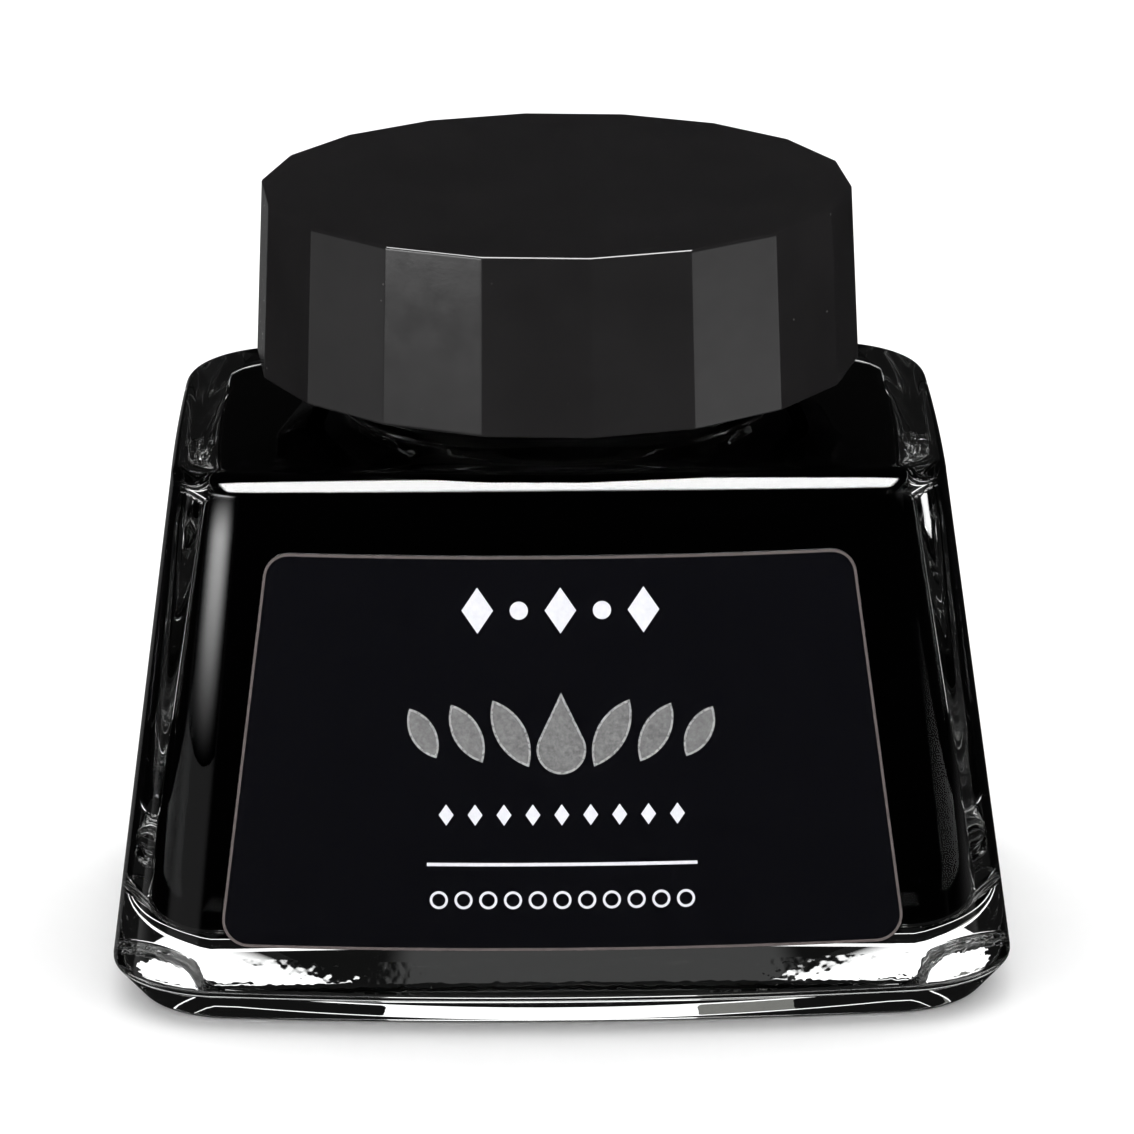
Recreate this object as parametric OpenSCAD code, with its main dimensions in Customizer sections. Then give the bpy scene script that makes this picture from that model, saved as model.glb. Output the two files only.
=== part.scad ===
// Ink bottle: tapered pressed-glass bottle with a bowed front and back, a thick
// clear base, a threaded neck and an 18-sided screw cap.
// Origin: middle of the underside. +X runs along the width, -Y is the front, +Z is up.

/* [Body] */
// Width of the body where it is widest, at the top of the foot
body_w = 55.5; // [50:0.5:62]
// Depth of the body there, at its corners
body_d = 36.3; // [33:0.1:42]
// Width at the shoulder
shoulder_w = 47.1; // [44:0.1:49]
// Depth at the shoulder, at its corners
shoulder_d = 28.7; // [27:0.1:32]
// Height where the straight walls end and the shoulder's rounding begins
shoulder_z = 32.7; // [31:0.1:34]
// How far the front and back faces bulge past the corners
face_bow = 2.2; // [1:0.1:2.6]
// How far the two side faces bulge
side_bow = 0.2; // [0:0.05:0.5]
// Radius of the upright corners at the foot
foot_corner_r = 6.0; // [5:0.1:7]
// Radius of the upright corners at the shoulder
shoulder_corner_r = 4.6; // [4:0.1:6]
// Radius of the rounding round the shoulder's edge
shoulder_round = 1.2; // [0.8:0.1:1.8]
// Height of the bevelled foot
foot_h = 2.4; // [1.5:0.1:3]
// How far the underside is drawn in from the widest line
foot_inset = 1.8; // [1:0.1:2.4]

/* [Well] */
// Thickness of the upright walls
wall = 3.2; // [2.8:0.1:3.4]
// Height of the well's floor, which is the thickness of the clear base
well_floor = 4.6; // [4:0.1:5.5]
// Radius of the rounding round the well's floor
well_round = 2.0; // [1:0.1:2.6]
// Depth of the shallow recess in the underside
punt_depth = 0.5; // [0.2:0.1:1]
// Height where the well's walls turn in towards the neck
arch_z = 31.0; // [30:0.1:31.4]

/* [Neck] */
// Radius of the mouth's bore
mouth_r = 9.8; // [9:0.1:10]
// Outer radius of the neck between the threads
neck_r = 12.6; // [12.4:0.1:12.8]
// Radius of the bead under the threads
bead_r = 14.0; // [13.4:0.1:14.2]
// Height where the shoulder runs into the neck
neck_z = 35.9; // [35.5:0.1:36.1]
// Height of the lip that the cap seals on
lip_z = 45.2; // [45.1:0.1:45.3]

/* [Thread] */
// Rise of the thread in one turn
pitch = 3.2; // [3:0.1:3.4]
// Number of turns on the neck
neck_turns = 1.5; // [1.2:0.1:1.6]
// Number of turns in the cap
cap_turns = 1.25; // [1:0.05:1.3]
// Crest radius of the neck's thread
neck_crest_r = 13.8; // [13.6:0.05:13.8]
// Crest radius of the cap's thread
cap_crest_r = 13.05; // [13:0.05:13.1]

/* [Cap] */
// Number of flat sides
cap_sides = 18; // [12:1:24]
// Radius across the corners at the top
cap_top_r = 18.25; // [18.1:0.05:18.6]
// Radius across the corners at the bottom edge
cap_bottom_r = 18.75; // [18.6:0.05:19.2]
// Height of the cap
cap_h = 11.0; // [10.9:0.1:11]
// Height of the cap's top above the table
cap_top_z = 48.5; // [48.4:0.1:48.7]
// Turn of the first corner from +X
cap_phase = 15.8; // [0:0.1:20]
// Thickness of the shell's flat top
shell_top = 1.3; // [1:0.1:1.4]
// Radius of the shell's inside wall
shell_bore_r = 16.6; // [16.4:0.1:16.8]
// Outer radius of the threaded insert between its ribs
insert_r = 15.6; // [15.3:0.1:15.9]
// Radius of the insert's inside wall, between its threads
insert_bore_r = 14.1; // [14.1:0.05:14.3]
// Number of ribs that centre the insert in the shell
ribs = 12; // [8:1:18]

/* [Labels] */
// Height of the label's lower edge
label_low_z = 5.5; // [5:0.1:7]
// Height of the label's upper edge
label_high_z = 29.7; // [27:0.1:31]
// Width of the label along its lower edge
label_low_w = 41.9; // [38:0.1:43]
// Width of the label along its upper edge
label_high_w = 35.4; // [32:0.1:36]
// Radius of the label's corners
label_corner_r = 1.6; // [1:0.1:2.5]
// Width of the border line round the label
border_w = 0.16; // [0.1:0.02:0.4]

/* [Hidden] */
$fn = 96;

arc_steps = 8;                      // segments in each upright corner
face_steps = 12;                    // segments across the front and the back face
side_steps = 4;                     // segments along each side face
film_gap = 0.01;                    // between the glass and a film's back
film_t = 0.10;                      // thickness of a label film
print_t = 0.02;                     // how far the print stands on the film
foot_bow = face_bow - 0.55;         // the bulge dies down towards the underside
shoulder_dome = 0.6;                // rise of the shoulder from its corners to its middle
neck_foot_r = neck_r + 0.7;         // circle where the shoulder meets the neck
roof_z = neck_z - 2.4;              // top of the well's roof, round the mouth's bore
ceiling_z = cap_top_z - shell_top;  // underside of the shell's top
cap_low_z = cap_top_z - cap_h;
insert_low_z = cap_low_z + 0.5;
liner_t = 1.0;
liner_r = insert_bore_r - 0.15;
thread_low_z = insert_low_z + 1.0;  // middle of the neck thread where it starts
cut_deg = 10;                       // turn between two cuts through a thread

// ---------- sections of the body ----------

// Points along a quarter circle about c, starting at the angle from.
function arc(c, r, from) = [for (i = [0 : arc_steps])
    c + r * [cos(from + 90 * i / arc_steps), sin(from + 90 * i / arc_steps)]];

// Points between p and q, without either end.
function between(p, q, steps) = [for (i = [1 : steps - 1]) p + (q - p) * i / steps];

// Rounded rectangle of half sizes a and b and corner radius r, counter-clockwise.
function rounded(a, b, r) = concat(
    arc([a - r, b - r], r, 0),
    between([a - r, b], [r - a, b], face_steps),
    arc([r - a, b - r], r, 90),
    between([-a, b - r], [-a, r - b], side_steps),
    arc([r - a, r - b], r, 180),
    between([r - a, -b], [a - r, -b], face_steps),
    arc([a - r, r - b], r, 270),
    between([a, r - b], [a, b - r], side_steps));

// The same with its sides bulging by bow_x and its front and back by bow_y.
function bowed(a, b, r, bow_x, bow_y) = [for (p = rounded(a, b, r)) [
    p.x + sign(p.x) * bow_x * max(0, 1 - pow(p.y / b, 2)),
    p.y + sign(p.y) * bow_y * max(0, 1 - pow(p.x / a, 2))]];

// How far up the straight wall a height is: 0 at the foot's top, 1 at the shoulder.
function up(z) = (z - foot_h) / (shoulder_z - foot_h);
function mix(from, to, s) = from + (to - from) * s;

// Section of the straight wall at height z, moved in by inset.
function wall_section(z, inset) = bowed(
    mix(body_w, shoulder_w, up(z)) / 2 - inset,
    mix(body_d, shoulder_d, up(z)) / 2 - inset,
    max(mix(foot_corner_r, shoulder_corner_r, up(z)) - inset, 1.2),
    side_bow, face_bow);

function at(points, z) = [for (p = points) [p.x, p.y, z]];

// A closed solid through a list of rings that all have the same number of points.
module loft(rings) {
    n = len(rings[0]);
    last = len(rings) - 1;
    sides = [for (k = [0 : last - 1], i = [0 : n - 1], t = [0, 1])
        let (j = (i + 1) % n, low = k * n, high = low + n)
        t == 0 ? [low + i, high + j, low + j] : [low + i, high + i, high + j]];
    polyhedron(
        points = [for (ring = rings) each ring],
        faces = concat([[for (i = [0 : n - 1]) i]], sides,
            [[for (i = [n - 1 : -1 : 0]) last * n + i]]),
        convexity = 6);
}

// ---------- glass ----------

// Ring on the shoulder's rounding, t degrees up from the wall.
function edge_ring(t) = [for (p = wall_section(shoulder_z, shoulder_round * (1 - cos(t)))) [
    p.x, p.y,
    shoulder_z + sin(t) * (shoulder_round + shoulder_dome * (1 - pow(p.x / shoulder_w * 2, 2)))]];

// Ring on the top of the shoulder: s is 0 at its edge and 1 at the neck.
function dome_ring(s) = [for (p = edge_ring(90))
    let (round_p = neck_foot_r * [p.x, p.y] / norm([p.x, p.y]))
    [mix(p.x, round_p.x, s), mix(p.y, round_p.y, s), mix(p.z, neck_z, pow(s, 1.5))]];

module body_outside() {
    foot = bowed(body_w / 2 - foot_inset, body_d / 2 - foot_inset,
        foot_corner_r - foot_inset / 2, side_bow, foot_bow);
    loft(concat(
        [at(foot, 0), at(wall_section(foot_h, 0), foot_h)],
        [for (t = [0 : 22.5 : 90]) edge_ring(t)],
        [for (s = [0.25 : 0.25 : 1]) dome_ring(s)]));
}

// Rings of the well: rounded floor, straight wall, then an arched roof that ends just inside
// the mouth's bore. gap keeps them that far off the glass.
function well_rings(gap) = concat(
    [for (t = [0 : 22.5 : 90]) at(
        wall_section(well_floor + well_round * (1 - cos(t)), wall + gap + well_round * (1 - sin(t))),
        well_floor + gap + well_round * (1 - cos(t)))],
    [for (t = [0 : 22.5 : 90]) [for (p = wall_section(arch_z, wall + gap))
        let (in_p = (mouth_r - 0.3) * p / norm(p), s = 1 - cos(t))
        [mix(p.x, in_p.x, s), mix(p.y, in_p.y, s), mix(arch_z, roof_z, sin(t)) - gap]]]);

module neck() {
    lip_round = 0.8;
    fillet_r = neck_r + 0.4;
    bead_round = 0.5;
    bead_z = neck_z + 1.2;
    rotate_extrude() polygon(concat(
        [[0, neck_z - 1], [fillet_r, neck_z - 1], [fillet_r, neck_z + 0.1], [neck_r, neck_z + 0.4],
         [bead_r - bead_round, bead_z - bead_round]],
        [for (t = [-60 : 30 : 60]) [bead_r - bead_round + bead_round * cos(t), bead_z + bead_round * sin(t)]],
        [[bead_r - bead_round, bead_z + bead_round], [neck_r, bead_z + bead_round + 0.3]],
        [for (t = [0 : 15 : 90]) [neck_r - lip_round + lip_round * cos(t), lip_z - lip_round + lip_round * sin(t)]],
        [[0, lip_z]]));
}

// One helical ridge. root_r is inside the wall that carries it, crest_r is its top.
// It fades in and out over the first and the last cuts.
module helix(root_r, crest_r, start_z, turns, start_deg) {
    root_half = 0.85;               // half of the ridge's height at its root
    crest_half = 0.45;
    fade_cuts = 4;
    count = round(turns * 360 / cut_deg);
    points = [for (i = [0 : count])
        let (a = start_deg + i * cut_deg,
             z = start_z + pitch * i * cut_deg / 360,
             full = min(1, (min(i, count - i) + 0.6) / fade_cuts),
             r = mix(root_r, crest_r, full))
        each [
            [root_r * cos(a), root_r * sin(a), z - root_half],
            [r * cos(a), r * sin(a), z - crest_half],
            [r * cos(a), r * sin(a), z + crest_half],
            [root_r * cos(a), root_r * sin(a), z + root_half]]];
    out = crest_r > root_r;
    sides = [for (i = [0 : count - 1], k = [0 : 3], t = [0, 1])
        let (m = (k + 1) % 4, near = i * 4, far = near + 4)
        t == 0 ? [near + k, near + m, far + m] : [near + k, far + m, far + k]];
    ends = [[3, 2, 1, 0], [for (k = [0 : 3]) count * 4 + k]];
    faces = concat(sides, ends);
    polyhedron(points, out ? faces : [for (f = faces) [for (k = [len(f) - 1 : -1 : 0]) f[k]]], convexity = 6);
}

module glass_bottle() {
    color([0.86, 0.90, 0.90, 0.35])
    difference() {
        union() {
            body_outside();
            neck();
            helix(neck_r - 0.3, neck_crest_r, thread_low_z, neck_turns, 0);
        }
        loft(well_rings(0));
        translate([0, 0, neck_z - 3]) cylinder(r = mouth_r, h = lip_z - neck_z + 4);
        punt();
    }
}

// Shallow recess that lifts the middle of the underside off the table.
module punt() {
    margin = 6;                     // width of the rim that the bottle stands on
    translate([0, 0, -1]) linear_extrude(punt_depth + 1)
        polygon(rounded(body_w / 2 - margin, body_d / 2 - margin, 3));
}

// The ink fills the well up to the foot of the neck.
module ink() {
    color([0.02, 0.01, 0.03]) loft(well_rings(0.02));
}

// ---------- cap ----------

function side_corners(r) = [for (i = [0 : cap_sides - 1])
    let (a = cap_phase + i * 360 / cap_sides) r * [cos(a), sin(a)]];

module cap_shell() {
    color([0.16, 0.16, 0.17])
    difference() {
        loft([at(side_corners(cap_bottom_r), cap_low_z), at(side_corners(cap_top_r), cap_top_z)]);
        translate([0, 0, cap_low_z - 1]) cylinder(r = shell_bore_r, h = ceiling_z - cap_low_z + 1);
    }
}

module cap_insert() {
    plate_z = lip_z + liner_t;      // underside of the insert's top plate
    rib_w = 1.6;
    // Half a pitch below the neck's ridge, so that the two run between each other.
    ridge_z = thread_low_z + pitch / 2;
    color([0.12, 0.12, 0.13])
    union() {
        difference() {
            union() {
                translate([0, 0, insert_low_z]) cylinder(r = insert_r, h = ceiling_z - insert_low_z);
                translate([0, 0, plate_z]) cylinder(r = shell_bore_r, h = ceiling_z - plate_z);
                intersection() {
                    translate([0, 0, insert_low_z + 1]) cylinder(r = shell_bore_r, h = ceiling_z - insert_low_z - 1);
                    for (i = [0 : ribs - 1])
                        rotate(i * 360 / ribs)
                            translate([insert_r - 0.5, -rib_w / 2, insert_low_z]) cube([2, rib_w, cap_h]);
                }
            }
            translate([0, 0, insert_low_z - 1]) cylinder(r = insert_bore_r, h = plate_z - insert_low_z + 1);
        }
        helix(insert_bore_r + 0.3, cap_crest_r, ridge_z, cap_turns, 0);
    }
}

module cap_liner() {
    color([0.88, 0.88, 0.86])
    translate([0, 0, lip_z]) cylinder(r = liner_r, h = liner_t);
}

// ---------- labels ----------

// Everything between two distances off the wall, over the label's height.
module skin(near, far) {
    low = label_low_z - 1;
    high = label_high_z + 1;
    difference() {
        loft([at(wall_section(low, -far), low), at(wall_section(high, -far), high)]);
        loft([at(wall_section(low - 1, -near), low - 1), at(wall_section(high + 1, -near), high + 1)]);
    }
}

// Cuts a skin by an outline drawn in X and Z. side is -1 for the front and 1 for the back.
module on_face(near, far, side) {
    intersection() {
        skin(near, far);
        rotate([90, 0, 0]) translate([0, 0, side < 0 ? 0 : -body_d]) linear_extrude(body_d) children();
    }
}

function label_half(z) = mix(label_low_w, label_high_w, (z - label_low_z) / (label_high_z - label_low_z)) / 2;

// The label's outline, moved in by inset.
module label_outline(inset) {
    r = label_corner_r;
    low = label_low_z + r;
    high = label_high_z - r;
    hull() for (side = [-1, 1], z = [low, high])
        translate([side * (label_half(z) - r), z]) circle(r = r - inset, $fn = 32);
}

module front_label() {
    color([0.05, 0.05, 0.06]) on_face(film_gap, film_gap + film_t, -1) label_outline(0);
}

module back_label() {
    color([0.05, 0.05, 0.06]) on_face(film_gap, film_gap + film_t, 1) label_outline(0);
}

module lozenge(w, h) {
    polygon([[-w / 2, 0], [0, -h / 2], [w / 2, 0], [0, h / 2]]);
}

// Ink drop: a circle of radius r with a point h above its lowest spot.
module drop(r, h) {
    mid = r - h / 2;
    reach = r / (h - r);            // cosine of the angle where the straight flanks touch the circle
    side = r * sqrt(1 - reach * reach);
    translate([0, mid]) circle(r = r);
    polygon([[0, h / 2], [-side, mid + r * reach], [0, mid], [side, mid + r * reach]]);
}

// Leaf with two pointed ends, w wide and h long, standing upright.
module leaf(w, h) {
    r = (w * w + h * h) / (4 * w);
    intersection_for(side = [-1, 1]) translate([side * (r - w / 2), 0]) circle(r = r);
}

// Border line, rule and three rows of small marks.
module front_print() {
    margin = 0.02;
    rule_w = 16.4;
    rule_t = 0.2;
    color([0.75, 0.75, 0.78])
    on_face(film_gap + film_t, film_gap + film_t + print_t, -1) {
        difference() {
            label_outline(margin);
            label_outline(margin + border_w);
        }
        translate([-rule_w / 2, 10.85 - rule_t / 2]) square([rule_w, rule_t]);
        for (i = [-2 : 2]) translate([i * 2.5, 26.4])
            if (i % 2 == 0) lozenge(1.9, 2.8);
            else circle(r = 0.55);
        for (i = [-4 : 4]) translate([i * 1.75, 13.9]) lozenge(0.9, 1.3);
        for (i = [-5 : 5]) translate([i * 1.5, 8.65]) difference() {
            circle(r = 0.55);
            circle(r = 0.4);
        }
    }
}

// Hot-stamped band: a drop with three leaves leaning away from it on each side.
module front_foil() {
    color([0.62, 0.62, 0.63])
    on_face(film_gap + film_t, film_gap + film_t + 2 * print_t, -1) translate([0, 18.9]) {
        drop(1.5, 5.0);
        for (side = [-1, 1], i = [1 : 3])
            translate([side * (0.4 + 2.65 * i), 0]) rotate(-side * 28) leaf(2.0 - 0.15 * i, 5.2 - 0.6 * i);
    }
}

glass_bottle();
ink();
cap_shell();
cap_insert();
cap_liner();
front_label();
front_print();
front_foil();
back_label();
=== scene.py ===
"""Visual model of a tapered glass ink bottle with an 18-sided screw cap.

The shapes are worked out in millimetres, in the object's own frame: +X along the width, -Y towards
the front, +Z up. add_mesh() and add_stage_mesh() scale them to metres.
"""

import math

import bpy
import numpy as np
from mathutils import Matrix, Vector


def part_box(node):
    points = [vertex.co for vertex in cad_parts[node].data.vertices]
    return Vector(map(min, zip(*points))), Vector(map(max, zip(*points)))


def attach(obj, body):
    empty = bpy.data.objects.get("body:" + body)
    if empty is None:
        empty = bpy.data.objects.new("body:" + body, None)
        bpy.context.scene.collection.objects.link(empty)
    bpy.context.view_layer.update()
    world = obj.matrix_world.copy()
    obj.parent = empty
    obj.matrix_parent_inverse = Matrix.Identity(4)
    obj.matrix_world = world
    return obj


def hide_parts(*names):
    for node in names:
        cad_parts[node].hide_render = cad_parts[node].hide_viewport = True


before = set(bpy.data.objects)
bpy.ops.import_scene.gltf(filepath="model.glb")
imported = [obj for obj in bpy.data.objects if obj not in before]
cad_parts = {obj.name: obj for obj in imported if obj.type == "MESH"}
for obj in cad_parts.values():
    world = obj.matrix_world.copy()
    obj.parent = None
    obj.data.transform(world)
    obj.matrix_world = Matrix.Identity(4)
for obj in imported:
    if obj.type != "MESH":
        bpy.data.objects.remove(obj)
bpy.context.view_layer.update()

MM = 0.001


def box_mm(node):
    """Lowest and highest corner of a CAD node, in millimetres."""
    low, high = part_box(node)
    return np.array(low) / MM, np.array(high) / MM


# ---------- driving dimensions, in millimetres ----------

# Body
BODY_W, BODY_D = 55.5, 36.3            # at the top of the foot, without the bulge
SHOULDER_W, SHOULDER_D = 47.1, 28.7    # where the straight walls end
FACE_BOW, SIDE_BOW = 2.2, 0.2          # bulge of front and back, and of the sides
FOOT_BOW = 1.65                        # bulge of front and back on the underside
FOOT_CORNER_R, SHOULDER_CORNER_R = 6.0, 4.6
SMALLEST_CORNER_R = 1.2                # of the sections inside the walls
SHOULDER_Z, SHOULDER_ROUND, SHOULDER_DOME = 32.7, 1.2, 0.6
FOOT_H, FOOT_INSET = 2.4, 1.8
RIM_W, PUNT_DEPTH, PUNT_CORNER_R = 6.0, 0.5, 3.0
PUNT_EDGE = 0.15                       # under a third of the depth, so that its two edges don't meet

# Well
WALL, WELL_FLOOR, WELL_ROUND = 3.2, 4.6, 2.0
ARCH_Z, ROOF_Z = 31.0, 33.5
INK_GAP = 0.03                         # between the wet glass and the ink's mesh

# Neck, with its top at the top of the CAD glass
LIP_Z = box_mm("glass_bottle")[1][2]
NECK_Z, NECK_R, NECK_FOOT_R, MOUTH_R = 35.9, 12.6, 13.3, 9.8
BEAD_Z, BEAD_R, BEAD_ROUND = 37.1, 14.0, 0.5
LIP_ROUND, MOUTH_ROUND = 0.8, 0.3
PITCH, THREAD_LOW_Z, NECK_TURNS, NECK_CREST_R = 3.2, 39.0, 1.5, 13.8
CREST_HALF, ROOT_HALF, FADE_DEG = 0.45, 0.77, 40.0    # of both threads' ridges

# Cap, between the lowest and highest point of its CAD shell
CAP_LOW_Z, CAP_TOP_Z = box_mm("cap_shell")[0][2], box_mm("cap_shell")[1][2]
CAP_SIDES, CAP_PHASE = 18, 15.8
CAP_BOTTOM_R, CAP_TOP_R = 18.75, 18.25
SHELL_BORE_R, SHELL_TOP = 16.6, 1.3
INSERT_LOW_Z, INSERT_TOP_Z = box_mm("cap_insert")[0][2], box_mm("cap_insert")[1][2]
INSERT_R, INSERT_BORE_R, RIBS, RIB_W, PLATE_T = 15.6, 14.1, 12, 1.6, 1.0
CAP_CREST_R, CAP_TURNS = 13.05, 1.25
LINER_R = 13.95
LINER_LOW_Z, LINER_TOP_Z = box_mm("cap_liner")[0][2], box_mm("cap_liner")[1][2]

# Labels
LABEL_LOW_Z, LABEL_HIGH_Z = 5.5, 29.7
LABEL_LOW_W, LABEL_HIGH_W, LABEL_CORNER_R = 41.9, 35.4, 1.6
FILM_GAP, FILM_T, PRINT_T = 0.01, 0.10, 0.02
BORDER_W, BORDER_MARGIN = 0.16, 0.02

# Fineness of the meshes
ARC_STEPS, FACE_STEPS, SIDE_STEPS, EDGE_STEPS = 14, 30, 16, 4
ROUND_STEPS, LABEL_CORNER_STEPS, LABEL_SIDE_STEPS = 28, 8, 20
NECK_STEP, CAP_STEP = 0.13, 0.14       # height between two rings of a thread


# ---------- small geometry helpers ----------

def mix(start, end, s):
    return start + (end - start) * s


def smooth(s):
    s = np.clip(s, 0, 1)
    return s * s * (3 - 2 * s)


def at(points, z):
    """Flat points lifted to a height."""
    return np.column_stack([points, np.broadcast_to(z, len(points))])


def arc(cx, cy, r, start):
    turn = np.radians(start + 90 * np.arange(ARC_STEPS + 1) / ARC_STEPS)
    return np.column_stack([cx + r * np.cos(turn), cy + r * np.sin(turn)])


def between(p, q, steps):
    """Points between p and q, without either end."""
    s = np.arange(1, steps)[:, None] / steps
    return mix(np.array(p, float), np.array(q, float), s)


def rounded(a, b, r):
    """Rounded rectangle of half sizes a and b, counter-clockwise."""
    return np.concatenate([
        arc(a - r, b - r, r, 0), between((a - r, b), (r - a, b), FACE_STEPS),
        arc(r - a, b - r, r, 90), between((-a, b - r), (-a, r - b), SIDE_STEPS),
        arc(r - a, r - b, r, 180), between((r - a, -b), (a - r, -b), FACE_STEPS),
        arc(a - r, r - b, r, 270), between((a, r - b), (a, b - r), SIDE_STEPS)])


def bowed(a, b, r, bow_x, bow_y):
    """The same with bulging sides."""
    x, y = rounded(a, b, r).T
    return np.column_stack([
        x + np.sign(x) * bow_x * np.clip(1 - (y / b) ** 2, 0, None),
        y + np.sign(y) * bow_y * np.clip(1 - (x / a) ** 2, 0, None)])


def half_size(z):
    """Half width and half depth of the straight wall at a height, without the bulge."""
    s = (z - FOOT_H) / (SHOULDER_Z - FOOT_H)
    return mix(BODY_W, SHOULDER_W, s) / 2, mix(BODY_D, SHOULDER_D, s) / 2


def wall_section(z, inset=0.0):
    a, b = half_size(z)
    s = (z - FOOT_H) / (SHOULDER_Z - FOOT_H)
    r = max(mix(FOOT_CORNER_R, SHOULDER_CORNER_R, s) - inset, SMALLEST_CORNER_R)
    return bowed(a - inset, b - inset, r, SIDE_BOW, FACE_BOW)


def soften(before, edge, after, trim):
    """Rings that round the edge between two faces off, with one more ring on each face."""
    to_before = (before - edge) / np.linalg.norm(before - edge, axis=1)[:, None]
    to_after = (after - edge) / np.linalg.norm(after - edge, axis=1)[:, None]
    start, end = edge + to_before * trim, edge + to_after * trim
    curve = [(1 - t) ** 2 * start + 2 * t * (1 - t) * edge + t * t * end
             for t in np.linspace(0, 1, EDGE_STEPS + 1)]
    return [edge + to_before * trim * 1.5, *curve, edge + to_after * trim * 1.5]


def shrunk(ring, factors):
    """Copies of a ring drawn in towards the middle axis."""
    return [ring * [f, f, 1] for f in factors]


def circle_at(angles, r, z):
    return np.column_stack([r * np.cos(angles), r * np.sin(angles), np.broadcast_to(z, len(angles))])


# ---------- objects ----------

def add_mesh(name, points, faces, materials, body, replaces, slots=None):
    """A smooth mesh from points in millimetres, riding on a body in place of CAD nodes."""
    mesh = bpy.data.meshes.new(name)
    mesh.from_pydata((np.asarray(points) * MM).tolist(), [], [list(map(int, f)) for f in faces])
    for m in materials:
        mesh.materials.append(m)
    if slots is not None:
        mesh.polygons.foreach_set("material_index", slots)
    mesh.polygons.foreach_set("use_smooth", [True] * len(mesh.polygons))
    mesh.validate()
    piece = bpy.data.objects.new(name, mesh)
    bpy.context.scene.collection.objects.link(piece)
    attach(piece, body)
    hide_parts(*replaces)
    return piece


def sharpen(piece):
    """Keeps the edges of a thin piece crisp under smooth shading."""
    sharp_over = math.radians(40)
    piece.data.set_sharp_from_angle(angle=sharp_over)


def loft(rings, slot_of=lambda k: 0, flip=False):
    """Points, faces and material numbers of a closed solid through rings of equally many points.
    The rings are counter-clockwise from above. flip is for those that run down the outside."""
    n, last = len(rings[0]), len(rings) - 1
    points = np.concatenate([*rings, [rings[0].mean(0)], [rings[-1].mean(0)]])
    faces, slots = [], []
    for k in range(last):
        for i in range(n):
            j = (i + 1) % n
            faces.append((k * n + i, k * n + j, (k + 1) * n + j, (k + 1) * n + i))
            slots.append(slot_of(k))
    for i in range(n):
        j = (i + 1) % n
        faces.append((len(points) - 2, j, i))
        faces.append((len(points) - 1, last * n + i, last * n + j))
        slots += [slot_of(0), slot_of(last - 1)]
    if flip:
        faces = [f[::-1] for f in faces]
    return points, faces, slots


# ---------- glass ----------

def edge_ring(t):
    """Ring on the shoulder's rounding, t degrees up from the wall."""
    x, y = wall_section(SHOULDER_Z, SHOULDER_ROUND * (1 - math.cos(math.radians(t)))).T
    rise = SHOULDER_ROUND + SHOULDER_DOME * (1 - (2 * x / SHOULDER_W) ** 2)
    return np.column_stack([x, y, SHOULDER_Z + math.sin(math.radians(t)) * rise])


def neck_angles():
    x, y, _ = edge_ring(90).T
    return np.arctan2(y, x)


def dome_ring(s):
    """Ring on the top of the shoulder: s is 0 at its edge and 1 at the neck."""
    edge = edge_ring(90)
    target = circle_at(neck_angles(), NECK_FOOT_R, NECK_Z)
    ring = mix(edge, target, s)
    ring[:, 2] = mix(edge[:, 2], NECK_Z, s ** 1.5)
    return ring


def ridge(angles, z, start_z, turns):
    """How far a thread's ridge stands out, from 0 to 1, at each angle on a height."""
    height = np.zeros(len(angles))
    for lap in range(math.ceil(turns) + 1):
        turn = np.degrees(angles) % 360 + 360 * lap
        fade = np.clip(np.minimum(turn, 360 * turns - turn) / FADE_DEG, 0, 1)
        off = np.abs(z - start_z - PITCH * turn / 360)
        flank = np.clip((ROOT_HALF - off) / (ROOT_HALF - CREST_HALF), 0, 1)
        height = np.maximum(height, smooth(flank) * smooth(fade))
    return height


def outside_rings():
    """From the middle of the recess in the underside out to the neck's foot."""
    recess = rounded(BODY_W / 2 - RIM_W, BODY_D / 2 - RIM_W, PUNT_CORNER_R)
    recess_top, recess_low = at(recess, PUNT_DEPTH), at(recess, 0)
    foot = at(bowed(BODY_W / 2 - FOOT_INSET, BODY_D / 2 - FOOT_INSET,
                    FOOT_CORNER_R - FOOT_INSET / 2, SIDE_BOW, FOOT_BOW), 0)
    widest = at(wall_section(FOOT_H), FOOT_H)
    shoulder = at(wall_section(SHOULDER_Z), SHOULDER_Z)
    inner = recess_top * [0.9, 0.9, 1]
    return [
        *shrunk(recess_top, (0.2, 0.35, 0.5, 0.65, 0.8)),
        *soften(inner, recess_top, recess_low, PUNT_EDGE),
        *soften(recess_top, recess_low, foot, PUNT_EDGE),
        *soften(recess_low, foot, widest, 0.3),
        *soften(foot, widest, shoulder, 0.3),
        *[at(wall_section(z), z) for z in np.linspace(FOOT_H, SHOULDER_Z, 14)[1:-1]],
        *[edge_ring(t) for t in np.linspace(0, 90, 15)],
        *[dome_ring(s) for s in (0.03, 0.08, 0.16, 0.27, 0.4, 0.53, 0.66, 0.79, 0.9, 1)]]


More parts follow.
